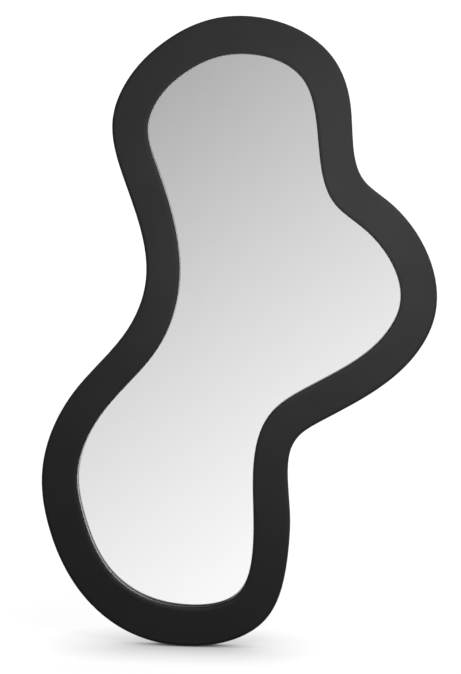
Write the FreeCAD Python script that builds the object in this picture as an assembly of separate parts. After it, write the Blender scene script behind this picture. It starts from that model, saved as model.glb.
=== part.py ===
"""Wall mirror with an irregular, wavy outline.

A one-piece routed ring of board holds the glass in a rebate in its back.
The glass is taped to a hardboard back, which is screwed into the ring.
Two strap hangers with swinging D rings carry it, and four rubber bumpers
keep it parallel to the wall.

Millimetres. +X is to the right seen from the front, +Y goes into the wall
and +Z is up. The wall is the plane y = 0. The origin is on the wall, midway
between the two hooks, at the height where the raised rings bear on them.
"""
import FreeCAD, Part
import math
import os

Vector = FreeCAD.Vector

# ---------------------------------------------------------------- outline
MIRROR_WIDTH = 626.0          # widest reach of the ring, left to right
MIRROR_HEIGHT = 1000.0        # from the lowest point to the highest
FACE_WIDTH = 57.0             # face of the ring, outer edge to sight edge

# Stations clockwise from the crown, seen from the front: distance from the
# left edge, height above the lowest point, and how much wider than
# FACE_WIDTH the face is there.
OUTLINE = [
    (282, 997, 2),            # crown of the head
    (461, 937, 0),
    (489, 864, -1),           # right side of the head
    (512, 747, 1),            # tight hollow above the right lobe
    (547, 718, 0),
    (622, 537, 0),            # tip of the right lobe
    (598, 485, 0),
    (448, 372, 0),
    (411, 346, 0),            # tight hollow below the right lobe
    (398, 221, 1),
    (396, 161, 0),
    (361, 49, 4),
    (230, 1, 8),              # foot
    (117, 34, 6),
    (64, 82, 3),
    (9, 197, 3),
    (0, 277, 1),              # left lobe
    (55, 415, 0),
    (143, 518, 0),
    (169, 585, -3),           # waist
    (138, 746, -1),
    (120, 846, 0),            # left side of the head
    (140, 898, 0),
    (205, 964, 1),
]
LAP_OVERLAP = 5               # stations drawn twice, so that a lap closes smoothly
PARALLEL_POINTS = 72          # points that carry a line parallel to another
REACH_POINTS = 1000           # points that measure how far the outline reaches

# ------------------------------------------------------------------- ring
FRAME_THICK = 22.0
EDGE_ROUND = 6.0              # roundover on both front edges
BACK_EASE = 1.0               # sanded outer back edge

# ---------------------------------------------------- glass and its backing
GLASS_THICK = 4.0
GLASS_LAP = 7.0               # glass hidden behind the ring's lip
GLASS_CLEARANCE = 2.0         # glass edge to rebate wall
TAPE_THICK = 1.0
TAPE_WIDTH = 25.0
TAPE_COUNT = 7
TAPE_EDGE_GAP = 24.0          # end of a strip to the glass edge
BOARD_THICK = 3.0
BOARD_RECESS = 3.0            # back of the board below the back of the ring
BOARD_CLEARANCE = 1.0         # board edge to its recess wall
LEDGE_WIDTH = 12.0            # seat of the board, outside the glass rebate

# ------------------------------------------------------------ board screws
BOARD_SCREW_PITCH = 112.0     # along the middle of the ledge
BOARD_SCREW_DIA = 3.0
BOARD_SCREW_LENGTH = 12.0
BOARD_SCREW_HEAD_DIA = 6.0
BOARD_SCREW_HEAD_HEIGHT = 2.2
BOARD_HOLE_PLAY = 0.25        # shank to hole in the board, radial
PILOT_PLAY = 0.05             # shank to pilot hole in the ring, radial
PILOT_SPARE_DEPTH = 1.5       # pilot hole past the screw's tip

# ---------------------------------------------------------------- hangers
HANGER_DROP = 150.0           # hinge axis below the highest point
STRAP_WIDTH = 16.0
STRAP_THICK = 1.2
STRAP_HOLE_PITCH = 13.0
STRAP_HOLE_PLAY = 0.15        # shank to hole in the strap, radial
STRAP_END = 6.5               # last hole to the strap's rounded end
BARREL_RISE = 0.25            # rolled barrel stands this far off the ring
WIRE_DIA = 3.0
RUNNING_FIT = 0.05            # wire to barrel bore, radial
D_SIDE_PLAY = 2.0             # edge of the barrel to the inside of a D ring
D_DEPTH = 18.0                # hinge axis to the inside of the bow
D_CORNER = 2.5                # bend of the wire's centre line at the barrel
D_TO_SCREW = 1.5              # hanging D ring to the first screw head
HANGER_SCREW_DIA = 3.5
HANGER_SCREW_LENGTH = 16.0
HANGER_SCREW_HEAD_DIA = 7.0
HANGER_SCREW_HEAD_HEIGHT = 2.2

# --------------------------------------------------------- all screw heads
CROWN_SHARE = 0.35            # rounded rim, share of the head's height
CROSS_DEPTH_SHARE = 0.55      # cross recess, share of the head's height
CROSS_SPAN_SHARE = 0.6        # cross recess, share of the head's width
CROSS_ARM_SHARE = 0.16        # arm of the cross, share of the head's width

# ---------------------------------------------------------------- bumpers
WALL_CLEARANCE = 0.75         # hanger barrel to the wall
BUMPER_BASE_DIA = 18.0
BUMPER_TIP_DIA = 15.0
BUMPER_RIM = 0.8              # rounded rim at the wall
TOP_BUMPER_DROP = 75.0        # bumper centre below the highest point
BOTTOM_BUMPER_RISE = 120.0    # bumper centre above the lowest point

# ------------------------------------------------------------- worked out
BORE_RADIUS = WIRE_DIA / 2 + RUNNING_FIT
BARREL_RADIUS = BORE_RADIUS + STRAP_THICK
HINGE_STANDOFF = BARREL_RADIUS + BARREL_RISE
BUMPER_HEIGHT = HINGE_STANDOFF + BARREL_RADIUS + WALL_CLEARANCE

BACK_Y = -BUMPER_HEIGHT                       # back of the ring
FRONT_Y = BACK_Y - FRAME_THICK                # front of the ring
HINGE_Y = BACK_Y + HINGE_STANDOFF
STRAP_BACK_Y = BACK_Y + STRAP_THICK
BOARD_BACK_Y = BACK_Y - BOARD_RECESS
LEDGE_Y = BOARD_BACK_Y - BOARD_THICK          # front of the board, on its ledge
GLASS_BACK_Y = LEDGE_Y - TAPE_THICK
LIP_Y = GLASS_BACK_Y - GLASS_THICK            # front of the glass, on the lip

REBATE_OUT = GLASS_LAP + GLASS_CLEARANCE      # sight edge to the rebate wall
LEDGE_MIDDLE_OUT = REBATE_OUT + LEDGE_WIDTH / 2
RECESS_OUT = REBATE_OUT + LEDGE_WIDTH         # sight edge to the recess wall
BOARD_OUT = RECESS_OUT - BOARD_CLEARANCE

HINGE_Z = MIRROR_HEIGHT - HANGER_DROP         # above the lowest point
HOOK_Z = HINGE_Z + D_DEPTH
FIRST_HOLE_DROP = D_DEPTH + WIRE_DIA + D_TO_SCREW + HANGER_SCREW_HEAD_DIA / 2
HOLE_DROPS = (FIRST_HOLE_DROP, FIRST_HOLE_DROP + STRAP_HOLE_PITCH)
STRAP_DROP = HOLE_DROPS[-1] + STRAP_END

SNUG = 0.001                                  # two planes closer than this are one
TO_RIGHT = Vector(1, 0, 0)
INTO_WALL = Vector(0, 1, 0)
TO_FRONT = Vector(0, -1, 0)


# ---------------------------------------------------------------- curves
def closed_curve(points):
    """Smooth closed curve through the points, in the plane y = 0."""
    overlap = min(LAP_OVERLAP, len(points) - 1)
    lap_and_more = points[-overlap:] + points + points[:overlap + 1]
    knots = [0.0]
    for start, end in zip(lap_and_more, lap_and_more[1:]):
        knots.append(knots[-1] + start.distanceToPoint(end))
    curve = Part.BSplineCurve()
    curve.interpolate(Points=lap_and_more, Parameters=knots)
    curve.segment(knots[overlap], knots[overlap + len(points)])
    return curve


def inward(curve, point):
    """Unit normal at a point of a clockwise curve, towards its inside."""
    tangent = curve.tangent(curve.parameter(point))[0]
    return Vector(tangent.z, 0, -tangent.x)


def line_outside(curve, distance):
    """Closed curve that keeps a steady distance outside another."""
    spots = curve.discretize(Number=PARALLEL_POINTS + 1)[:-1]
    return closed_curve([p - inward(curve, p) * distance for p in spots])


def outer_edge():
    """The drawn outline, stretched to the mirror's width and height."""
    drawn = closed_curve([Vector(x, 0, z) for x, z, extra in OUTLINE])
    reach = drawn.discretize(Number=REACH_POINTS)
    left = min(p.x for p in reach)
    low = min(p.z for p in reach)
    stretch_x = MIRROR_WIDTH / (max(p.x for p in reach) - left)
    stretch_z = MIRROR_HEIGHT / (max(p.z for p in reach) - low)
    return closed_curve([Vector((x - left) * stretch_x, 0, (z - low) * stretch_z)
                         for x, z, extra in OUTLINE])


def sight_edge(outer):
    """Inner edge of the face: each station moved in by the face's width."""
    points = []
    for knot, (x, z, extra) in zip(outer.getKnots(), OUTLINE):
        station = outer.value(knot)
        points.append(station + inward(outer, station) * (FACE_WIDTH + extra))
    return closed_curve(points)


def crossings(curve, height):
    """Leftmost and rightmost points of a closed curve at a height."""
    level = Part.LineSegment(Vector(-MIRROR_WIDTH, 0, height),
                             Vector(2 * MIRROR_WIDTH, 0, height))
    across = sorted(hit.X for hit in curve.intersectCC(level))
    return across[0], across[-1]


def middle_of_band(outer, recess, height):
    """Middles of the ring's back band at a height, on the left and right."""
    outer_left, outer_right = crossings(outer, height)
    recess_left, recess_right = crossings(recess, height)
    return (outer_left + recess_left) / 2, (outer_right + recess_right) / 2


# ---------------------------------------------------------------- solids
def slab(curve, front, back):
    """Flat plate of a curve's outline between two planes of constant y."""
    plate = Part.Face(Part.Wire(curve.toShape())).extrude(Vector(0, back - front, 0))
    plate.translate(Vector(0, front, 0))
    return plate


def edges_in_plane(shape, y):
    """Edges that lie in a plane of constant y, longest first."""
    flat = [edge for edge in shape.Edges
            if abs(edge.BoundBox.YMin - y) < SNUG and abs(edge.BoundBox.YMax - y) < SNUG]
    return sorted(flat, key=lambda edge: -edge.Length)


def hole(x, z, radius, deep_y, mouth_y):
    """Round plug that cuts a hole along Y."""
    return Part.makeCylinder(radius, mouth_y - deep_y, Vector(x, deep_y, z), INTO_WALL)


def screw(x, z, seat_y, diameter, length, head_diameter, head_height):
    """Pan head wood screw, its head's underside at seat_y, tip to the front."""
    seat = Vector(x, seat_y, z)
    shank = Part.makeCylinder(diameter / 2, length - diameter, seat, TO_FRONT)
    tip_start = seat + TO_FRONT * (length - diameter)
    tip = Part.makeCone(diameter / 2, 0, diameter, tip_start, TO_FRONT)
    head = Part.makeCylinder(head_diameter / 2, head_height, seat, INTO_WALL)
    rim = edges_in_plane(head, seat_y + head_height)
    head = head.makeFillet(CROWN_SHARE * head_height, rim)
    span = CROSS_SPAN_SHARE * head_diameter
    arm = CROSS_ARM_SHARE * head_diameter
    depth = CROSS_DEPTH_SHARE * head_height
    floor_y = seat_y + head_height - depth
    for width, height in ((span, arm), (arm, span)):
        corner = Vector(x - width / 2, floor_y, z - height / 2)
        head = head.cut(Part.makeBox(width, depth, height, corner))
    return head.fuse([shank, tip]).removeSplitter()


def board_screw_spots(sight):
    """Middles of the board screws, evenly spaced round the ledge."""
    line = line_outside(sight, LEDGE_MIDDLE_OUT)
    count = round(line.length() / BOARD_SCREW_PITCH)
    return [(p.x, p.z) for p in line.discretize(Number=count + 1)[:-1]]


def make_frame(outer, sight, recess, board_spots, hanger_spots):
    """Routed ring: roundovers in front, glass rebate and board recess behind."""
    past_back = BACK_Y + FRAME_THICK
    ring = slab(outer, FRONT_Y, BACK_Y)
    ring = ring.cut(slab(sight, FRONT_Y - FRAME_THICK, past_back))
    ring = ring.makeFillet(EDGE_ROUND, edges_in_plane(ring, FRONT_Y))
    ring = ring.makeFillet(BACK_EASE, edges_in_plane(ring, BACK_Y)[:1])
    ring = ring.cut(slab(line_outside(sight, REBATE_OUT), LIP_Y, past_back))
    ring = ring.cut(slab(recess, LEDGE_Y, past_back))
    pilots = []
    for x, z in board_spots:
        tip_y = BOARD_BACK_Y - BOARD_SCREW_LENGTH - PILOT_SPARE_DEPTH
        radius = BOARD_SCREW_DIA / 2 + PILOT_PLAY
        pilots.append(hole(x, z, radius, tip_y, past_back))
    for x, z in hanger_spots:
        tip_y = STRAP_BACK_Y - HANGER_SCREW_LENGTH - PILOT_SPARE_DEPTH
        radius = HANGER_SCREW_DIA / 2 + PILOT_PLAY
        pilots.append(hole(x, z, radius, tip_y, past_back))
    return ring.cut(Part.makeCompound(pilots))


def make_mirror_glass(sight):
    """Silvered float glass, cut to the sight edge plus its lap."""
    return slab(line_outside(sight, GLASS_LAP), LIP_Y, GLASS_BACK_Y)


def make_backing_board(sight, board_spots):
    """Hardboard back on the ledge, with a hole for each screw."""
    board = slab(line_outside(sight, BOARD_OUT), LEDGE_Y, BOARD_BACK_Y)
    radius = BOARD_SCREW_DIA / 2 + BOARD_HOLE_PLAY
    drill = [hole(x, z, radius, FRONT_Y, 0) for x, z in board_spots]
    return board.cut(Part.makeCompound(drill))


def make_board_screws(board_spots):
    """Screws of the backing board, as a group of separate solids."""
    return Part.makeCompound([
        screw(x, z, BOARD_BACK_Y, BOARD_SCREW_DIA, BOARD_SCREW_LENGTH,
              BOARD_SCREW_HEAD_DIA, BOARD_SCREW_HEAD_HEIGHT)
        for x, z in board_spots])


def make_tape_strips(sight):
    """Level strips of foam tape between the glass and the board."""
    glass = line_outside(sight, GLASS_LAP)
    reach = glass.discretize(Number=REACH_POINTS)
    low = min(p.z for p in reach)
    pitch = (max(p.z for p in reach) - low) / TAPE_COUNT
    strips = []
    for row in range(TAPE_COUNT):
        middle = low + (row + 0.5) * pitch
        levels = (middle - TAPE_WIDTH / 2, middle, middle + TAPE_WIDTH / 2)
        left = max(crossings(glass, z)[0] for z in levels) + TAPE_EDGE_GAP
        right = min(crossings(glass, z)[1] for z in levels) - TAPE_EDGE_GAP
        corner = Vector(left, GLASS_BACK_Y, levels[0])
        strips.append(Part.makeBox(right - left, TAPE_THICK, TAPE_WIDTH, corner))
    return strips


def make_strap(x):
    """Strap hanger: a flat steel strap rolled into a barrel at its top."""
    half = STRAP_WIDTH / 2
    flat = Part.makeBox(STRAP_WIDTH, STRAP_THICK, STRAP_DROP - half,
                        Vector(x - half, BACK_Y, HINGE_Z - STRAP_DROP + half))
    end = hole(x, HINGE_Z - STRAP_DROP + half, half, BACK_Y, STRAP_BACK_Y)
    barrel_start = Vector(x - half, HINGE_Y, HINGE_Z)
    barrel = Part.makeCylinder(BARREL_RADIUS, STRAP_WIDTH, barrel_start, TO_RIGHT)
    bore = Part.makeCylinder(BORE_RADIUS, STRAP_WIDTH, barrel_start, TO_RIGHT)
    strap = flat.fuse([end, barrel]).removeSplitter().cut(bore)
    radius = HANGER_SCREW_DIA / 2 + STRAP_HOLE_PLAY
    for drop in HOLE_DROPS:
        strap = strap.cut(hole(x, HINGE_Z - drop, radius, FRONT_Y, 0))
    return strap


def make_d_ring(x):
    """Bent wire ring, hanging down: a bar in the barrel, two legs, a bow."""
    half = STRAP_WIDTH / 2 + D_SIDE_PLAY + WIRE_DIA / 2
    bow_middle = HINGE_Z - (D_DEPTH + WIRE_DIA / 2 - half)
    bend = D_CORNER * (1 - math.cos(math.pi / 4))

    def spot(across, z):
        return Vector(x + across, HINGE_Y, z)

    def leg_side(side):
        corner = Part.Arc(spot(side * (half - D_CORNER), HINGE_Z),
                          spot(side * (half - bend), HINGE_Z - bend),
                          spot(side * half, HINGE_Z - D_CORNER))
        bar = Part.LineSegment(spot(0, HINGE_Z), spot(side * (half - D_CORNER), HINGE_Z))
        leg = Part.LineSegment(spot(side * half, HINGE_Z - D_CORNER),
                               spot(side * half, bow_middle))
        return [piece.toShape() for piece in (bar, corner, leg)]

    bow = Part.Arc(spot(half, bow_middle), spot(0, bow_middle - half),
                   spot(-half, bow_middle))
    path = Part.Wire(leg_side(1) + [bow.toShape()] + leg_side(-1)[::-1])
    section = Part.Wire(Part.Circle(spot(0, HINGE_Z), TO_RIGHT, WIRE_DIA / 2).toShape())
    return path.makePipeShell([section], True, False)


def make_hanger_screws(hanger_spots):
    """Screws of both straps, as a group of separate solids."""
    return Part.makeCompound([
        screw(x, z, STRAP_BACK_Y, HANGER_SCREW_DIA, HANGER_SCREW_LENGTH,
              HANGER_SCREW_HEAD_DIA, HANGER_SCREW_HEAD_HEIGHT)
        for x, z in hanger_spots])


def make_bumper(x, z):
    """Stick-on rubber bumper, tapered to a rounded rim at the wall."""
    bumper = Part.makeCone(BUMPER_BASE_DIA / 2, BUMPER_TIP_DIA / 2, BUMPER_HEIGHT,
                           Vector(x, BACK_Y, z), INTO_WALL)
    return bumper.makeFillet(BUMPER_RIM, edges_in_plane(bumper, 0))


# ----------------------------------------------------------------- build
def main():
    """Draws every piece above the lowest point and writes it from the hooks."""
    outer = outer_edge()
    sight = sight_edge(outer)
    recess = line_outside(sight, RECESS_OUT)
    board_spots = board_screw_spots(sight)
    strap_left, strap_right = middle_of_band(outer, recess, HINGE_Z)
    hanger_spots = [(x, HINGE_Z - drop) for x in (strap_left, strap_right)
                    for drop in HOLE_DROPS]
    top_z = MIRROR_HEIGHT - TOP_BUMPER_DROP
    top_left, top_right = middle_of_band(outer, recess, top_z)
    bottom_z = BOTTOM_BUMPER_RISE
    bottom_left, bottom_right = middle_of_band(outer, recess, bottom_z)

    nodes = {
        "frame": make_frame(outer, sight, recess, board_spots, hanger_spots),
        "mirror_glass": make_mirror_glass(sight),
        "backing_board": make_backing_board(sight, board_spots),
        "board_screws": make_board_screws(board_spots),
        "hanger_strap_left": make_strap(strap_left),
        "hanger_strap_right": make_strap(strap_right),
        "d_ring_left": make_d_ring(strap_left),
        "d_ring_right": make_d_ring(strap_right),
        "hanger_screws": make_hanger_screws(hanger_spots),
        "wall_bumper_top_left": make_bumper(top_left, top_z),
        "wall_bumper_top_right": make_bumper(top_right, top_z),
        "wall_bumper_bottom_left": make_bumper(bottom_left, bottom_z),
        "wall_bumper_bottom_right": make_bumper(bottom_right, bottom_z),
    }
    for number, strip in enumerate(make_tape_strips(sight), start=1):
        nodes["tape_strip_%d" % number] = strip

    os.makedirs("parts", exist_ok=True)
    hooks = Vector((strap_left + strap_right) / 2, 0, HOOK_Z)
    for name, shape in nodes.items():
        shape.translate(-hooks)
        shape.exportStep("parts/%s.step" % name)
        print("%-26s %2d solids  valid %s  %.0f mm3" % (
            name, len(shape.Solids), shape.isValid(), shape.Volume))
    print("hook spacing %.1f mm, hooks %.1f mm above the lowest point" % (
        strap_right - strap_left, HOOK_Z))


main()
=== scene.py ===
# %% [markdown]
# # A wavy wall mirror in black lacquer
#
# The object is a flat ring of fibreboard, cut to a wavy outline, with a sheet of
# silvered glass behind it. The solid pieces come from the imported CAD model, and this
# script never moves or resizes them. It gives every piece its finish, builds the glass
# in layers, and sets up a plain white studio with the photograph's camera.

# %% Load the frame
import math

import bmesh
import bpy
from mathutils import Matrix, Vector


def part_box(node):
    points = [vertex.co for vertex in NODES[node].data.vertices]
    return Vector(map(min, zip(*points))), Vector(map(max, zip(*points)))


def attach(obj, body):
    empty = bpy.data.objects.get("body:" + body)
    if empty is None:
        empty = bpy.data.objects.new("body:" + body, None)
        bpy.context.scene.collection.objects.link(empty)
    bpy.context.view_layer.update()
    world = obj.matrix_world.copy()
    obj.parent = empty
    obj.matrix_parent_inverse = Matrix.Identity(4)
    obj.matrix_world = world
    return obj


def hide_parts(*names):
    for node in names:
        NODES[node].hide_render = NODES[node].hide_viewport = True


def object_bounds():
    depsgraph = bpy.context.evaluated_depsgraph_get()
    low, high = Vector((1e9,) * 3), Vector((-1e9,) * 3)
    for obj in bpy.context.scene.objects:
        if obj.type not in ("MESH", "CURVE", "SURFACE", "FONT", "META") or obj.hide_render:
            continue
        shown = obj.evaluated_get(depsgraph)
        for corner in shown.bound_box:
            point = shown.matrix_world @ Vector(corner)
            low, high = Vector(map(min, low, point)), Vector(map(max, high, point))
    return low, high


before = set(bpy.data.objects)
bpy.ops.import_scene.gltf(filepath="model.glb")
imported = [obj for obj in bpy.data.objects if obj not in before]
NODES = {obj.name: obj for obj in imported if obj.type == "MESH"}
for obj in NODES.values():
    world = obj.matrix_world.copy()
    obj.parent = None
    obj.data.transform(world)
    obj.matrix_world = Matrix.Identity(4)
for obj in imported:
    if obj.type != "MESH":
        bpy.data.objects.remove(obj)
CAD_LOW, CAD_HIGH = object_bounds()
MM = 0.001
print("CAD box, mm:", [round(v / MM) for v in CAD_LOW], [round(v / MM) for v in CAD_HIGH])

# %% [markdown]
# ## Camera
#
# The photograph looks at the mirror from slightly to the right and slightly above. Two
# things show this: the wall between the face and the glass is seen on the left and at
# the foot but not on the right, and the mirrored room shows no camera. The turn, the
# aim and the lens are the ones that lay the ring's outline on the photograph's. An
# orthographic camera would match the outline as well, but every point of the glass
# would then mirror the same direction, with no gradient at all.

# %% Camera
PHOTO_HEIGHT_PX = 674
CAMERA_RIGHT = math.radians(5)
CAMERA_RAISED = math.radians(7)
CAMERA_DISTANCE = 2.6
LENS_PX = 1657.4                 # focal length, in pixels of the photograph
AIM_FROM_LEFT = 304.8 * MM       # the picture's middle, on the plane of the ring's face
AIM_FROM_FOOT = 503.6 * MM

aim = Vector((CAD_LOW.x + AIM_FROM_LEFT, CAD_LOW.y, CAD_LOW.z + AIM_FROM_FOOT))


def add_camera():
    """A long lens, a little to the right and above, turned to the aim."""
    data = bpy.data.cameras.new("camera")
    data.angle = 2 * math.atan(PHOTO_HEIGHT_PX / 2 / LENS_PX)
    camera = bpy.data.objects.new("camera", data)
    away = Vector((
        math.sin(CAMERA_RIGHT) * math.cos(CAMERA_RAISED),
        -math.cos(CAMERA_RIGHT) * math.cos(CAMERA_RAISED),
        math.sin(CAMERA_RAISED),
    ))
    camera.location = aim + CAMERA_DISTANCE * away
    camera.rotation_euler = (-away).to_track_quat("-Z", "Y").to_euler()
    bpy.context.scene.collection.objects.link(camera)
    bpy.context.scene.camera = camera
    return camera


camera = add_camera()
print("one pixel is %.3f mm at the aim, camera at" % (CAMERA_DISTANCE / LENS_PX / MM),
      [round(v, 3) for v in camera.location])

# %% [markdown]
# ## Surroundings
#
# A mirror shows the room, so the room matters more than the lamps. In the photograph
# the glass is a smooth grey at the upper left that grows to white at the lower right.
# The world gives glossy and transmitted rays that same slope of brightness by
# direction, and camera rays plain white. A gradient painted on the glass would look
# right from the front alone, so the gradient is in the world instead. Further to the
# right the room is brighter still. The glass doesn't show that part, but the left wall
# of the opening does, as a light strip. Straight behind the mirror the room is dark, so
# that the ring's rounded edges don't shine at a slant. They don't in the photograph.

# %% Node helpers
def add_node(tree, kind, inputs=None, **settings):
    """Adds a shader node, sets its properties and its unlinked input values."""
    node = tree.nodes.new(kind)
    for name, value in settings.items():
        setattr(node, name, value)
    for name, value in (inputs or {}).items():
        node.inputs[name].default_value = value
    return node


def feed(tree, socket, operand):
    """Gives a socket another node's output, or a plain number or colour."""
    if isinstance(operand, bpy.types.NodeSocket):
        tree.links.new(operand, socket)
    else:
        socket.default_value = operand


def math_node(tree, operation, first, second=None, clamp=False):
    """Math node; an operand is a number or another node's output."""
    node = add_node(tree, "ShaderNodeMath", operation=operation, use_clamp=clamp)
    feed(tree, node.inputs[0], first)
    if second is not None:
        feed(tree, node.inputs[1], second)
    return node.outputs[0]


def vector_node(tree, operation, first, second, output=0):
    """Vector Math node; its first output is a vector, its second one a number."""
    node = add_node(tree, "ShaderNodeVectorMath", operation=operation)
    feed(tree, node.inputs[0], first)
    feed(tree, node.inputs[1], second)
    return node.outputs[output]


def parts_of(tree, vector):
    """Splits a vector into its X, Y and Z."""
    node = add_node(tree, "ShaderNodeSeparateXYZ")
    tree.links.new(vector, node.inputs[0])
    return node.outputs


def ease(tree, value, low, high, to_low, to_high):
    """Smooth step of a value from one range to another."""
    node = add_node(tree, "ShaderNodeMapRange", interpolation_type="SMOOTHSTEP")
    node.inputs["From Min"].default_value = low
    node.inputs["From Max"].default_value = high
    node.inputs["To Min"].default_value = to_low
    node.inputs["To Max"].default_value = to_high
    tree.links.new(value, node.inputs["Value"])
    return node.outputs["Result"]


# %% Mix helper
# A Mix node holds sockets for every kind of data, so these are told apart by number.
MIX_NUMBERS = (2, 3, 0)          # first, second and output
MIX_COLOURS = (6, 7, 2)


def mix(tree, mask, first, second, kind, sockets):
    """Goes from first to second as the mask goes from 0 to 1."""
    node = add_node(tree, "ShaderNodeMix", data_type=kind)
    tree.links.new(mask, node.inputs[0])
    low, high, result = sockets
    feed(tree, node.inputs[low], first)
    feed(tree, node.inputs[high], second)
    return node.outputs[result]


def blend_values(tree, mask, first, second):
    """Number that goes from first to second as the mask goes from 0 to 1."""
    return mix(tree, mask, first, second, "FLOAT", MIX_NUMBERS)


# %% World
MIRRORED_LEVEL = 0.742           # brightness of the room that the glass's middle mirrors
SIDE_MIDDLE = -0.10              # that part of the room, as a direction's X and Z
HEIGHT_MIDDLE = -0.12
SIDE_REACH = 0.35                # how far to each side of it the slope runs
SIDE_CHANGE = 0.28               # brighter to the right, darker to the left
HEIGHT_REACH = 0.45
HEIGHT_CHANGE = 0.52             # darker above, brighter below
BRIGHT_SIDE = 0.35               # more light past the right edge of what the glass mirrors
BRIGHT_START = 0.04              # where that starts and is full, as a direction's X
BRIGHT_FULL = 0.16
BEHIND_SHARE = 0.05              # of the reflected light straight behind the mirror
BEHIND_START = 0.75              # as a direction's Y
BEHIND_FULL = 0.95
FRONT_LEVEL = 0.04               # soft light on matt surfaces from the camera's side,
BACK_LEVEL = 1.10                # from behind the mirror
TOP_LEVEL = 1.20                 # and from overhead
SIDEWAYS = 0.2                   # a direction's Y, up to which front and back light mix
TOP_START = 0.65                 # a direction's Z
TOP_FULL = 0.85


def add_world():
    """White for the camera, a soft slope for reflections, a plain level for the rest."""
    world = bpy.data.worlds.new("studio")
    world.use_nodes = True
    world.cycles.sampling_method = "NONE"
    tree = world.node_tree
    tree.nodes.clear()
    toward = parts_of(tree, add_node(tree, "ShaderNodeTexCoord").outputs["Generated"])
    side = ease(tree, toward["X"], SIDE_MIDDLE - SIDE_REACH, SIDE_MIDDLE + SIDE_REACH,
                -SIDE_CHANGE, SIDE_CHANGE)
    height = ease(tree, toward["Z"], HEIGHT_MIDDLE - HEIGHT_REACH,
                  HEIGHT_MIDDLE + HEIGHT_REACH, HEIGHT_CHANGE, -HEIGHT_CHANGE)
    bright = ease(tree, toward["X"], BRIGHT_START, BRIGHT_FULL,
                  MIRRORED_LEVEL, MIRRORED_LEVEL + BRIGHT_SIDE)
    slope = math_node(tree, "ADD", math_node(tree, "ADD", side, height), bright, clamp=True)
    behind = ease(tree, toward["Y"], BEHIND_START, BEHIND_FULL, 1.0, BEHIND_SHARE)
    slope = math_node(tree, "MULTIPLY", slope, behind)
    rays = add_node(tree, "ShaderNodeLightPath")
    sharp = math_node(tree, "MAXIMUM", rays.outputs["Is Glossy Ray"],
                      rays.outputs["Is Transmission Ray"])
    soft = ease(tree, toward["Y"], -SIDEWAYS, SIDEWAYS, FRONT_LEVEL, BACK_LEVEL)
    overhead = ease(tree, toward["Z"], TOP_START, TOP_FULL, 0.0, TOP_LEVEL)
    soft = math_node(tree, "MAXIMUM", soft, overhead)
    light = blend_values(tree, sharp, soft, slope)
    seen = math_node(tree, "MAXIMUM", light, rays.outputs["Is Camera Ray"])
    background = add_node(tree, "ShaderNodeBackground")
    tree.links.new(seen, background.inputs["Color"])
    output = add_node(tree, "ShaderNodeOutputWorld")
    tree.links.new(background.outputs[0], output.inputs["Surface"])
    bpy.context.scene.world = world
    return world


print("world:", add_world().name)

# %% [markdown]
# ## Floor and lamp
#
# The floor is a wide white plane under the mirror's lowest point. A studio full of white
# leaves only a soft contact shadow at the foot. The Ambient Occlusion node gives it: it
# tells how much of the sky a point of the floor sees. For camera rays the floor glows
# white by that share, so that it meets the white background with no horizon line. One
# small lamp, close by on the right and a little above, makes the black face lighter at
# its upper right, as in the photograph. A far lamp would light the whole face evenly.

# %% Floor
FLOOR_SIZE = 9.0
FLOOR_ROUGHNESS = 0.9
FLOOR_BOUNCE = 0.08              # the floor's white for the light that it throws back
FOOT_FROM_MIDDLE = -50 * MM      # the ring's lowest point, to the left of its middle
SHADOW_REACH = 0.10              # how far from the floor the soft contact shadow starts
GLOW_SHARE = 0.93                # of the white near the foot; the lamp gives the rest
NEAR_FLOOR = 0.30                # up to this distance from the foot the lamp adds its part
FAR_FLOOR = 0.60                 # beyond this one the glow alone is white
SKY_SAMPLES = 16


def add_floor():
    """White ground that blends into the background and keeps the contact shadow."""
    mesh = bpy.data.meshes.new("floor")
    half = FLOOR_SIZE / 2
    corners = [(-half, -half), (half, -half), (half, half), (-half, half)]
    mesh.from_pydata([(x, y, CAD_LOW.z) for x, y in corners], [], [(0, 1, 2, 3)])
    floor = bpy.data.objects.new("floor", mesh)
    bpy.context.scene.collection.objects.link(floor)
    material = bpy.data.materials.new("floor_white")
    material.use_nodes = True
    tree = material.node_tree
    shader = tree.nodes["Principled BSDF"]
    shader.inputs["Roughness"].default_value = FLOOR_ROUGHNESS
    shader.inputs["Specular IOR Level"].default_value = 0.0
    shader.inputs["Emission Color"].default_value = (1, 1, 1, 1)
    seen = add_node(tree, "ShaderNodeLightPath").outputs["Is Camera Ray"]
    white = math_node(tree, "MULTIPLY", seen, 1 - GLOW_SHARE - FLOOR_BOUNCE)
    white = math_node(tree, "ADD", white, FLOOR_BOUNCE)
    tree.links.new(white, shader.inputs["Base Color"])

    foot = Vector((
        (CAD_LOW.x + CAD_HIGH.x) / 2 + FOOT_FROM_MIDDLE, CAD_HIGH.y, CAD_LOW.z))
    place = add_node(tree, "ShaderNodeTexCoord").outputs["Object"]
    apart = vector_node(tree, "DISTANCE", place, foot, output="Value")
    share = ease(tree, apart, NEAR_FLOOR, FAR_FLOOR, GLOW_SHARE, 1.0)
    open_sky = add_node(tree, "ShaderNodeAmbientOcclusion", {"Distance": SHADOW_REACH},
                        samples=SKY_SAMPLES).outputs["AO"]
    glow = math_node(tree, "MULTIPLY", share, open_sky)
    tree.links.new(math_node(tree, "MULTIPLY", seen, glow),
                   shader.inputs["Emission Strength"])
    floor.data.materials.append(material)
    floor.visible_glossy = False
    floor.visible_transmission = False
    return floor


print("floor:", add_floor().name)


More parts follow.
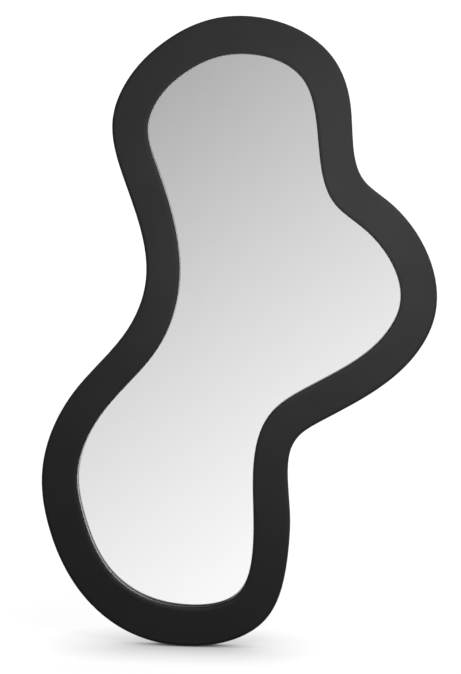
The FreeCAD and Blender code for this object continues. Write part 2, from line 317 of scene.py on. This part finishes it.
# %% Lamp
def add_lamp(name, place, target, size, power):
    """Square area light at a place, turned to a target."""
    data = bpy.data.lights.new(name, "AREA")
    data.shape = "SQUARE"
    data.size = size
    data.energy = power
    lamp = bpy.data.objects.new(name, data)
    lamp.location = place
    lamp.rotation_euler = (target - place).to_track_quat("-Z", "Y").to_euler()
    lamp.visible_camera = False
    lamp.visible_glossy = False
    lamp.visible_transmission = False
    bpy.context.scene.collection.objects.link(lamp)
    return lamp


LAMP_FROM_AIM = Vector((0.29, -0.62, 0.33))      # to the right, in front and above
LAMP_SIZE = 0.16
LAMP_WATTS = 6.5
key = add_lamp("key_right", aim + LAMP_FROM_AIM, aim, LAMP_SIZE, LAMP_WATTS)
print("lamp:", key.name)

# %% [markdown]
# ## Shared effects
#
# Real finishes are never one colour. Four small effects give nearly all of that here:
# grain, dust, rubbed edges and specks. Each is a node group with named inputs, built
# once, and each material places it with its own sizes. They could be copied node by
# node into every material, but a group keeps one recipe in one place. All of them read
# the object's own coordinates in metres, so a size in millimetres means just that.

# %% Group helpers
def new_group(name, inputs, outputs):
    """Shader node group with named inputs, their start values, and named outputs."""
    group = bpy.data.node_groups.new(name, "ShaderNodeTree")
    for title, value in inputs.items():
        kind = "NodeSocketVector" if isinstance(value, tuple) else "NodeSocketFloat"
        socket = group.interface.new_socket(title, in_out="INPUT", socket_type=kind)
        socket.default_value = value
    for title in outputs:
        group.interface.new_socket(title, in_out="OUTPUT", socket_type="NodeSocketFloat")
    return group, add_node(group, "NodeGroupInput"), add_node(group, "NodeGroupOutput")


def per_metre(group, size):
    """Turns a size in millimetres into a texture scale."""
    return math_node(group, "DIVIDE", 1 / MM, size)


def own_place(tree):
    """Place on the object, in metres."""
    return add_node(tree, "ShaderNodeTexCoord").outputs["Object"]


def own_direction(tree):
    """Direction that the surface faces, by the object's own axes."""
    return add_node(tree, "ShaderNodeTexCoord").outputs["Normal"]


# %% Grain
NOISE_MIDDLE = 0.5


def grain_group():
    """Cloudy noise from 0 to 1; Stretch under 1 along an axis draws it out into fibres."""
    group, start, end = new_group(
        "grain", {"Size": 5.0, "Detail": 3.0, "Contrast": 1.0, "Stretch": (1.0, 1.0, 1.0)},
        ["Value"])
    drawn = vector_node(group, "MULTIPLY", own_place(group), start.outputs["Stretch"])
    noise = add_node(group, "ShaderNodeTexNoise")
    group.links.new(drawn, noise.inputs["Vector"])
    group.links.new(per_metre(group, start.outputs["Size"]), noise.inputs["Scale"])
    group.links.new(start.outputs["Detail"], noise.inputs["Detail"])
    around = math_node(group, "SUBTRACT", noise.outputs["Fac"], NOISE_MIDDLE)
    spread = math_node(group, "MULTIPLY", around, start.outputs["Contrast"])
    value = math_node(group, "ADD", spread, NOISE_MIDDLE, clamp=True)
    group.links.new(value, end.inputs["Value"])
    return group


# %% Dust
DUST_STEEP = 0.2                 # the surface's Z: below this it is too steep for dust
DUST_LEVEL = 0.95                # and above this one dust lies as on a shelf
DUST_CLOUD = (0.35, 0.7)         # of the noise: bare below the first, dusty above the second


def dust_group():
    """Mask of dust that settles on what faces up, broken up by a cloud."""
    group, start, end = new_group("dust", {"Amount": 0.5, "Size": 8.0}, ["Mask"])
    upwards = parts_of(group, own_direction(group))["Z"]
    settled = ease(group, upwards, DUST_STEEP, DUST_LEVEL, 0.0, 1.0)
    noise = add_node(group, "ShaderNodeTexNoise", {"Detail": 6.0, "Roughness": 0.7})
    group.links.new(own_place(group), noise.inputs["Vector"])
    group.links.new(per_metre(group, start.outputs["Size"]), noise.inputs["Scale"])
    broken = ease(group, noise.outputs["Fac"], *DUST_CLOUD, 0.0, 1.0)
    both = math_node(group, "MULTIPLY", settled, broken)
    mask = math_node(group, "MULTIPLY", both, start.outputs["Amount"], clamp=True)
    group.links.new(mask, end.inputs["Mask"])
    return group


# %% Rubbed edges
BEVEL_SAMPLES = 4
FLAT_AGREES = 0.98               # of the two normals: no edge from here up
EDGE_AGREES = 0.80               # a full edge from here down
RUB_CLOUD = (0.35, 0.6)          # of the noise, as for the dust


def edge_rub_group():
    """Mask along sharp edges: there the bevelled normal leaves the true one."""
    group, start, end = new_group(
        "edge_rub", {"Width": 0.4, "Amount": 1.0, "Break up": 3.0}, ["Mask"])
    radius = math_node(group, "MULTIPLY", start.outputs["Width"], MM)
    bevel = add_node(group, "ShaderNodeBevel", samples=BEVEL_SAMPLES)
    group.links.new(radius, bevel.inputs["Radius"])
    true_normal = add_node(group, "ShaderNodeNewGeometry").outputs["Normal"]
    agreement = vector_node(
        group, "DOT_PRODUCT", bevel.outputs[0], true_normal, output="Value")
    edge = ease(group, agreement, FLAT_AGREES, EDGE_AGREES, 0.0, 1.0)
    noise = add_node(group, "ShaderNodeTexNoise", {"Detail": 4.0})
    group.links.new(own_place(group), noise.inputs["Vector"])
    group.links.new(per_metre(group, start.outputs["Break up"]), noise.inputs["Scale"])
    broken = ease(group, noise.outputs["Fac"], *RUB_CLOUD, 0.0, 1.0)
    both = math_node(group, "MULTIPLY", edge, broken)
    mask = math_node(group, "MULTIPLY", both, start.outputs["Amount"], clamp=True)
    group.links.new(mask, end.inputs["Mask"])
    return group


# %% Specks
SPECK_SHARPNESS = 8.0            # how fast a speck's rim goes from 0 to 1


def speck_group():
    """Mask of small round specks: fibres, pits, foam cells or lint, by size and share."""
    group, start, end = new_group(
        "specks", {"Size": 2.0, "Share": 0.3, "Stretch": (1.0, 1.0, 1.0)}, ["Mask"])
    drawn = vector_node(group, "MULTIPLY", own_place(group), start.outputs["Stretch"])
    cells = add_node(group, "ShaderNodeTexVoronoi", {"Randomness": 1.0})
    group.links.new(drawn, cells.inputs["Vector"])
    group.links.new(per_metre(group, start.outputs["Size"]), cells.inputs["Scale"])
    depth = math_node(group, "SUBTRACT", start.outputs["Share"], cells.outputs["Distance"])
    sharpened = math_node(group, "MULTIPLY", depth, SPECK_SHARPNESS, clamp=True)
    group.links.new(sharpened, end.inputs["Mask"])
    return group


GROUPS = {
    "grain": grain_group(),
    "dust": dust_group(),
    "edge_rub": edge_rub_group(),
    "specks": speck_group(),
}
print("node groups:", ", ".join(GROUPS))

# %% [markdown]
# ## Material helpers
#
# Every finish is a Principled shader. What changes over the surface, which is colour,
# roughness, the gloss of the opening's walls and the small relief of the Bump node, is
# linked to nodes. What is the same all over is set on the shader itself.

# %% Material helpers
def new_material(name, settings):
    """Material with one Principled shader and its plain settings."""
    material = bpy.data.materials.new(name)
    material.use_nodes = True
    tree = material.node_tree
    shader = tree.nodes["Principled BSDF"]
    for title, value in settings.items():
        shader.inputs[title].default_value = value
    return material, tree, shader


def use_group(tree, name, **values):
    """Places a shared effect with its own sizes and returns its only output."""
    node = add_node(tree, "ShaderNodeGroup", node_tree=GROUPS[name])
    for title, value in values.items():
        node.inputs[title.replace("_", " ")].default_value = value
    return node.outputs[0]


def mix_colour(tree, mask, first, second):
    """Colour that goes from first to second as the mask goes from 0 to 1."""
    ends = [(*end, 1) if isinstance(end, tuple) else end for end in (first, second)]
    return mix(tree, mask, *ends, "RGBA", MIX_COLOURS)


def link_relief(tree, shader, height, depth_mm):
    """Bump whose full height is a real depth in millimetres."""
    bump = add_node(tree, "ShaderNodeBump", {"Strength": 1.0, "Distance": depth_mm * MM})
    tree.links.new(height, bump.inputs["Height"])
    tree.links.new(bump.outputs[0], shader.inputs["Normal"])


def paint(node_name, material):
    """Gives a CAD node its finish, in every material slot it has."""
    for material_slot in NODES[node_name].material_slots:
        material_slot.material = material


# %% [markdown]
# ## Black lacquer
#
# The ring is cut from fibreboard and sprayed with a satin black lacquer, which hides
# the board's grain on the face and dries with a faint orange peel. The back gets only
# the edge of the spray, so there the brown board shows through, rough and fibrous. The
# walls of the opening are glossier: seen at a slant they reflect nearly all the light,
# which is the photograph's light strip beside the glass. Three materials could share
# the faces out, but each would end in a hard line. So one material does all three:
# masks from the surface's own place and direction find what faces back and what faces
# into the opening, and they fade over the rounded edges.

# %% Lacquer values
LACQUER_BLACK = (0.028, 0.028, 0.0285)
LACQUER_THIN = (0.033, 0.0325, 0.032)      # where the coat is a little lighter
OVERSPRAY = (0.020, 0.017, 0.015)
RAW_BOARD = (0.085, 0.052, 0.031)
DUST_GREY = (0.20, 0.19, 0.18)
FACE_ROUGHNESS = (0.42, 0.50)
BACK_ROUGHNESS = 0.80
DUST_ROUGHNESS = 0.9
WALL_ROUGHNESS = 0.05
SPRAY_DEPTH_MM = 0.12            # relief of the raw board
PEEL_SHARE = 0.12                # of that depth, for the orange peel


# %% Lacquer masks
OPENING_MIDDLE = Vector((CAD_LOW.x + 300 * MM, CAD_LOW.y, CAD_LOW.z + 500 * MM))
INWARDS = 20 * MM                # from here on a wall counts as facing that middle
BACK_EDGE = (0.75, 0.97)         # the surface's Y where the back starts and is full
SQUARE_EDGE = (0.25, 0.75)       # the same where a wall is full and where it ends


def back_mask(tree):
    """1 on what faces the wall, 0 elsewhere."""
    return ease(tree, parts_of(tree, own_direction(tree))["Y"], *BACK_EDGE, 0.0, 1.0)


def wall_mask(tree):
    """1 on the opening's walls, which stand square to the face and look to its middle."""
    facing = own_direction(tree)
    forwards = math_node(tree, "ABSOLUTE", parts_of(tree, facing)["Y"])
    square = ease(tree, forwards, *SQUARE_EDGE, 1.0, 0.0)
    from_middle = vector_node(tree, "SUBTRACT", own_place(tree), OPENING_MIDDLE)
    outwards = vector_node(tree, "DOT_PRODUCT", facing, from_middle, output="Value")
    inner = ease(tree, outwards, -INWARDS, 0.0, 1.0, 0.0)
    return math_node(tree, "MULTIPLY", square, inner)


# %% Lacquer material
def lacquer():
    """Satin black coat with orange peel, glossy in the opening; brown and thin behind."""
    material, tree, shader = new_material("black_lacquer", {
        "Specular IOR Level": 0.03, "Coat Roughness": 0.04, "Coat IOR": 1.5})
    walls = wall_mask(tree)
    tree.links.new(walls, shader.inputs["Coat Weight"])
    tree.links.new(walls, shader.inputs["Metallic"])
    behind = back_mask(tree)
    cloud = use_group(tree, "grain", Size=70.0, Detail=4.0, Contrast=2.0)
    coat = mix_colour(tree, cloud, LACQUER_BLACK, LACQUER_THIN)
    fibres = use_group(tree, "grain", Size=2.2, Detail=8.0, Contrast=3.2)
    patches = use_group(tree, "grain", Size=28.0, Detail=5.0, Contrast=3.5)
    misted = mix_colour(tree, math_node(tree, "MULTIPLY", fibres, patches),
                        OVERSPRAY, RAW_BOARD)
    colour = mix_colour(tree, behind, coat, misted)
    settled = use_group(tree, "dust", Amount=0.10, Size=6.0)
    tree.links.new(mix_colour(tree, settled, colour, DUST_GREY), shader.inputs["Base Color"])

    haze = use_group(tree, "grain", Size=35.0, Contrast=2.5)
    dull = blend_values(tree, haze, *FACE_ROUGHNESS)
    dull = blend_values(tree, behind, dull, BACK_ROUGHNESS)
    dull = blend_values(tree, settled, dull, DUST_ROUGHNESS)
    tree.links.new(blend_values(tree, walls, dull, WALL_ROUGHNESS), shader.inputs["Roughness"])

    peel = use_group(tree, "grain", Size=2.6, Detail=1.0, Contrast=1.0)
    peel = math_node(tree, "MULTIPLY", peel, PEEL_SHARE)
    link_relief(tree, shader, blend_values(tree, behind, peel, fibres), SPRAY_DEPTH_MM)
    return material


paint("frame", lacquer())
print("frame lacquered")

# %% [markdown]
# ## Silvered glass
#
# A mirror is clear float glass with silver on its back, under a coat of grey paint.
# One metal surface would look almost right. But light goes through 4 mm of glass
# twice, so at a slant a real mirror shows a thin dark line, the lip's underside,
# between the lip and its image. So the CAD's one pane gives way to two sheets of the
# same outline: the glass, and the thin painted silver behind it.

# %% Outline of the pane
PANE_LOW, PANE_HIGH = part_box("mirror_glass")
SILVER_THICK = 0.10 * MM
GLASS_TO_SILVER = 0.03 * MM       # the least gap that still keeps the two apart
GROUND_EDGE = 0.5 * MM
SAME_POINT = 0.001 * MM
SHARP_EDGE = math.radians(60)


def pane_outline():
    """The pane's front edge as an ordered loop of points, read from the CAD node."""
    flat = bmesh.new()
    flat.from_mesh(NODES["mirror_glass"].data)
    behind = [v for v in flat.verts if v.co.y > PANE_LOW.y + GROUND_EDGE]
    bmesh.ops.delete(flat, geom=behind, context="VERTS")
    bmesh.ops.remove_doubles(flat, verts=flat.verts, dist=SAME_POINT)
    rim = [edge for edge in flat.edges if len(edge.link_faces) == 1]
    first = rim[0]
    loop = [first.verts[0]]
    edge, point = first, first.verts[1]
    while point != loop[0]:
        loop.append(point)
        edge = next(e for e in point.link_edges if e != edge and len(e.link_faces) == 1)
        point = edge.other_vert(point)
    points = [(v.co.x, v.co.z) for v in loop]
    flat.free()
    return points


outline = pane_outline()
print(len(outline), "points round the pane")


# %% Sheets
def sheet_of(name, front, back, ground):
    """Flat sheet with the pane's outline between two depths, its edges ground off."""
    shape = bmesh.new()
    corners = [shape.verts.new((x, front, z)) for x, z in outline]
    face = shape.faces.new(corners)
    grown = bmesh.ops.extrude_face_region(shape, geom=[face])["geom"]
    for vertex in grown:
        if isinstance(vertex, bmesh.types.BMVert):
            vertex.co.y = back
    bmesh.ops.recalc_face_normals(shape, faces=shape.faces)
    if ground:
        rims = [e for e in shape.edges if e.calc_face_angle(0) > SHARP_EDGE]
        bmesh.ops.bevel(shape, geom=rims, offset=ground, segments=1, affect="EDGES")
    bmesh.ops.triangulate(shape, faces=[f for f in shape.faces if len(f.verts) > 4])
    mesh = bpy.data.meshes.new(name)
    shape.to_mesh(mesh)
    shape.free()
    sheet = bpy.data.objects.new(name, mesh)
    bpy.context.scene.collection.objects.link(sheet)
    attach(sheet, "mirror")
    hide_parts("mirror_glass")
    return sheet


silver_front = PANE_HIGH.y - SILVER_THICK
glass_back = silver_front - GLASS_TO_SILVER
glass_sheet = sheet_of("glass_sheet", PANE_LOW.y, glass_back, GROUND_EDGE)
silver_sheet = sheet_of("silver_sheet", silver_front, PANE_HIGH.y, 0)
print("glass %.2f mm thick" % ((glass_back - PANE_LOW.y) / MM))

# %% [markdown]
# ## Finishes of the glass and the silver
#
# The glass has a trace of green from its iron and a slight haze where a cloth has
# dried. Glass without them would mirror as well, but a real pane is never so clean.
# Its Transmission Weight and Metallic stay plain numbers, because it is glass all
# over. The silver is a clean metal. Its back is grey protective paint, so that sheet
# has two materials, shared out by which way each face looks.

# %% Glass and silver
GLASS_TINT = (0.987, 0.990, 0.988)
GLASS_THIN_TINT = (0.984, 0.988, 0.986)
SILVER = (0.968, 0.964, 0.966)
SILVER_SHADE = (0.960, 0.956, 0.958)
PROTECTIVE_PAINT = (0.16, 0.17, 0.17)
PROTECTIVE_PAINT_DARK = (0.12, 0.13, 0.13)
WIPED_ROUGHNESS = (0.0, 0.008)
SILVER_ROUGHNESS = (0.0, 0.006)
PAINT_ROUGHNESS = (0.45, 0.65)
GLASS_WAVES_MM = 0.01
PAINT_RUNS_MM = 0.02


def clear_glass():
    """Float glass with a little iron green and the haze a cloth leaves."""
    material, tree, shader = new_material(
        "clear_glass", {"Transmission Weight": 1.0, "Metallic": 0.0, "IOR": 1.52})
    tint = use_group(tree, "grain", Size=180.0, Detail=2.0)
    tree.links.new(mix_colour(tree, tint, GLASS_TINT, GLASS_THIN_TINT),
                   shader.inputs["Base Color"])
    wiped = use_group(tree, "grain", Size=25.0, Detail=5.0, Contrast=2.5,
                      Stretch=(1.0, 1.0, 0.25))
    tree.links.new(blend_values(tree, wiped, *WIPED_ROUGHNESS), shader.inputs["Roughness"])
    waves = use_group(tree, "grain", Size=300.0, Detail=0.0)
    link_relief(tree, shader, waves, GLASS_WAVES_MM)
    return material


def silvering():
    """The clean reflecting side of the silver."""
    material, tree, shader = new_material("silvering", {"Metallic": 1.0})
    cloud = use_group(tree, "grain", Size=240.0, Detail=2.0)
    tree.links.new(mix_colour(tree, cloud, SILVER, SILVER_SHADE), shader.inputs["Base Color"])
    tree.links.new(blend_values(tree, cloud, *SILVER_ROUGHNESS), shader.inputs["Roughness"])
    return material


def mirror_paint():
    """Grey paint that keeps damp off the silver."""
    material, tree, shader = new_material("mirror_paint", {})
    runs = use_group(tree, "grain", Size=9.0, Detail=6.0, Contrast=2.0,
                     Stretch=(1.0, 1.0, 0.2))
    tree.links.new(mix_colour(tree, runs, PROTECTIVE_PAINT, PROTECTIVE_PAINT_DARK),
                   shader.inputs["Base Color"])
    tree.links.new(blend_values(tree, runs, *PAINT_ROUGHNESS), shader.inputs["Roughness"])
    link_relief(tree, shader, runs, PAINT_RUNS_MM)
    return material


glass_sheet.data.materials.append(clear_glass())
silver_sheet.data.materials.append(silvering())
silver_sheet.data.materials.append(mirror_paint())
MIRRORING, PAINTED = range(2)     # the sheet's two materials, in their order
for face in silver_sheet.data.polygons:
    looks_forward = face.normal.y < -0.5
    face.material_index = MIRRORING if looks_forward else PAINTED
print("mirror made of", glass_sheet.name, "and", silver_sheet.name)

# %% [markdown]
# ## Hardboard back
#
# The back is thin brown hardboard: pressed wood fibre with a smooth, slightly shiny
# side. Its fibres lie in all directions, so the colour is mottled, with darker
# bundles. A picture of hardboard would repeat over a metre of board. Two noises, drawn
# out along and across and then multiplied, give crossing fibres that don't repeat. The
# cut edge is fuzzy and paler, which the edge mask gives.

# %% Hardboard
BOARD_BROWN = (0.235, 0.135, 0.072)
BOARD_LIGHT = (0.345, 0.215, 0.125)
BOARD_FIBRE = (0.115, 0.062, 0.032)
BOARD_EDGE = (0.42, 0.29, 0.18)
BOARD_ROUGHNESS = (0.46, 0.62)
BOARD_EDGE_ROUGHNESS = 0.9
FIBRE_DEPTH_MM = 0.05


def hardboard():
    """Mottled brown pressed fibre, darker bundles, paler fuzzy edges."""
    material, tree, shader = new_material("hardboard", {"Specular IOR Level": 0.35})
    mottle = use_group(tree, "grain", Size=16.0, Detail=8.0, Contrast=2.4)
    colour = mix_colour(tree, mottle, BOARD_BROWN, BOARD_LIGHT)
    along = use_group(tree, "grain", Size=3.0, Detail=6.0, Contrast=3.0,
                      Stretch=(1.0, 1.0, 0.22))
    across = use_group(tree, "grain", Size=3.4, Detail=6.0, Contrast=3.0,
                       Stretch=(0.22, 1.0, 1.0))
    fibres = math_node(tree, "MULTIPLY", along, across)
    colour = mix_colour(tree, fibres, colour, BOARD_FIBRE)
    rubbed = use_group(tree, "edge_rub", Width=0.8, Amount=0.8, Break_up=4.0)
    colour = mix_colour(tree, rubbed, colour, BOARD_EDGE)
    settled = use_group(tree, "dust", Amount=0.4, Size=5.0)
    tree.links.new(mix_colour(tree, settled, colour, DUST_GREY), shader.inputs["Base Color"])
    rough = blend_values(tree, mottle, *BOARD_ROUGHNESS)
    tree.links.new(blend_values(tree, rubbed, rough, BOARD_EDGE_ROUGHNESS),
                   shader.inputs["Roughness"])
    link_relief(tree, shader, fibres, FIBRE_DEPTH_MM)
    return material


paint("backing_board", hardboard())
print("backing board finished")

# %% [markdown]
# ## Zinc plated steel
#
# The screws and the hangers are steel with bright zinc plating. The plating is a
# little cloudy, with a trace of straw and blue from its passivation, and handling
# leaves fine scratches and polished edges. Three recipes would say the same thing three
# times, because screws, straps and wire differ only in how the steel was made. So one
# recipe takes the stretch of its fine lines, its roughness and its relief.

# %% Plated steel
ZINC_BLUE = (0.60, 0.62, 0.65)
ZINC_STRAW = (0.66, 0.64, 0.58)
ZINC_POLISHED = (0.80, 0.81, 0.82)
ZINC_DARK = (0.34, 0.34, 0.35)
TARNISH = 0.35                   # how far the darkest spots go to ZINC_DARK
MARKED_ROUGHER = 0.14            # what the drawing lines add to the roughness
POLISHED_SHARE = 0.6             # of the roughness that is left on rubbed edges


def plated(name, lines, roughness, relief_mm):
    """Zinc on steel; lines is the stretch that draws its fine marks out."""
    material, tree, shader = new_material(name, {"Metallic": 1.0})
    cloud = use_group(tree, "grain", Size=6.0, Detail=5.0, Contrast=2.5)
    colour = mix_colour(tree, cloud, ZINC_BLUE, ZINC_STRAW)
    tarnish = use_group(tree, "grain", Size=2.4, Detail=6.0, Contrast=4.0)
    dulled = math_node(tree, "MULTIPLY", tarnish, TARNISH)
    colour = mix_colour(tree, dulled, colour, ZINC_DARK)
    rubbed = use_group(tree, "edge_rub", Width=0.25, Amount=0.9, Break_up=2.0)
    colour = mix_colour(tree, rubbed, colour, ZINC_POLISHED)
    settled = use_group(tree, "dust", Amount=0.25, Size=3.0)
    tree.links.new(mix_colour(tree, settled, colour, DUST_GREY), shader.inputs["Base Color"])
    marks = use_group(tree, "grain", Size=0.8, Detail=3.0, Contrast=3.0, Stretch=lines)
    rough = blend_values(tree, marks, roughness, roughness + MARKED_ROUGHER)
    rough = blend_values(tree, rubbed, rough, roughness * POLISHED_SHARE)
    tree.links.new(blend_values(tree, settled, rough, DUST_ROUGHNESS),
                   shader.inputs["Roughness"])
    link_relief(tree, shader, marks, relief_mm)
    return material


SCREW_ZINC = plated("screw_zinc", (1.0, 1.0, 1.0), 0.30, 0.010)
STRAP_ZINC = plated("strap_zinc", (1.0, 1.0, 0.06), 0.26, 0.006)
WIRE_ZINC = plated("wire_zinc", (0.12, 1.0, 0.5), 0.20, 0.004)
for node_name, material in (
    ("board_screws", SCREW_ZINC),
    ("hanger_screws", SCREW_ZINC),
    ("hanger_strap_left", STRAP_ZINC),
    ("hanger_strap_right", STRAP_ZINC),
    ("d_ring_left", WIRE_ZINC),
    ("d_ring_right", WIRE_ZINC),
):
    paint(node_name, material)
print("screws, straps and rings plated")

# %% [markdown]
# ## Rubber bumpers
#
# The bumpers are moulded black rubber, matt and finely pitted from the mould, and
# they pick up dust and lint. Plain black would swallow their shape against the dark
# ring, so a grey bloom, worn rims and lint set them off. The pits are far too small to
# model, so they are relief in the shader.

# %% Rubber
RUBBER_BLACK = (0.032, 0.032, 0.033)
RUBBER_BLOOM = (0.060, 0.059, 0.057)      # the grey film that rubber grows
RUBBER_WORN = (0.10, 0.10, 0.098)
RUBBER_ROUGHNESS = (0.60, 0.78)
PIT_DEPTH_MM = 0.03


def rubber():
    """Matt black rubber with mould pits, a grey bloom and lint."""
    material, tree, shader = new_material("bumper_rubber", {"Specular IOR Level": 0.4})
    bloom = use_group(tree, "grain", Size=7.0, Detail=5.0, Contrast=2.5)
    colour = mix_colour(tree, bloom, RUBBER_BLACK, RUBBER_BLOOM)
    worn = use_group(tree, "edge_rub", Width=0.6, Amount=0.7, Break_up=3.0)
    colour = mix_colour(tree, worn, colour, RUBBER_WORN)
    settled = use_group(tree, "dust", Amount=0.7, Size=2.0)
    colour = mix_colour(tree, settled, colour, DUST_GREY)
    lint = use_group(tree, "specks", Size=2.2, Share=0.10, Stretch=(1.0, 1.0, 0.35))
    tree.links.new(mix_colour(tree, lint, colour, DUST_GREY), shader.inputs["Base Color"])
    tree.links.new(blend_values(tree, bloom, *RUBBER_ROUGHNESS), shader.inputs["Roughness"])
    pits = use_group(tree, "grain", Size=0.5, Detail=2.0, Contrast=2.0)
    link_relief(tree, shader, pits, PIT_DEPTH_MM)
    return material


RUBBER = rubber()
BUMPERS = [name for name in sorted(NODES) if name.startswith("wall_bumper")]
for node_name in BUMPERS:
    paint(node_name, RUBBER)
print(len(BUMPERS), "bumpers")

# %% [markdown]
# ## Foam tape
#
# Short strips of white foam tape bond the glass to the hardboard behind it. They are
# closed-cell foam, so the surface shows small round cells. The cloudy noise has no
# round shapes in it. The specks group has, and its mask serves as the relief too: the
# cells are pits, and their darker grey is painted shade.

# %% Foam
FOAM_WHITE = (0.80, 0.80, 0.78)
# painted shade: the darker grey of the recessed foam cells
FOAM_PIT_SHADE = (0.66, 0.66, 0.63)
FOAM_AGED = (0.76, 0.74, 0.68)
FOAM_ROUGHNESS = (0.75, 0.95)
CELL_DEPTH_MM = 0.12


def foam():
    """White closed-cell foam, with painted shade darkening its cell pits."""
    material, tree, shader = new_material("foam_tape", {"Specular IOR Level": 0.3})
    cells = use_group(tree, "specks", Size=0.7, Share=0.45)
    aged = use_group(tree, "grain", Size=12.0, Detail=4.0, Contrast=2.0)
    colour = mix_colour(tree, aged, FOAM_WHITE, FOAM_AGED)
    # the cells are pits; their darker grey is painted shade
    tree.links.new(mix_colour(tree, cells, colour, FOAM_PIT_SHADE), shader.inputs["Base Color"])
    tree.links.new(blend_values(tree, cells, *FOAM_ROUGHNESS), shader.inputs["Roughness"])
    link_relief(tree, shader, math_node(tree, "SUBTRACT", 1.0, cells), CELL_DEPTH_MM)
    return material


FOAM = foam()
STRIPS = [name for name in sorted(NODES) if name.startswith("tape_strip")]
for node_name in STRIPS:
    paint(node_name, FOAM)
print(len(STRIPS), "strips of tape")

# %% [markdown]
# ## View settings
#
# Colours go out unchanged, through the Standard view. Blender's usual view, AgX, would
# turn the white floor grey.

# %% Finish
bpy.context.scene.view_settings.view_transform = "Standard"
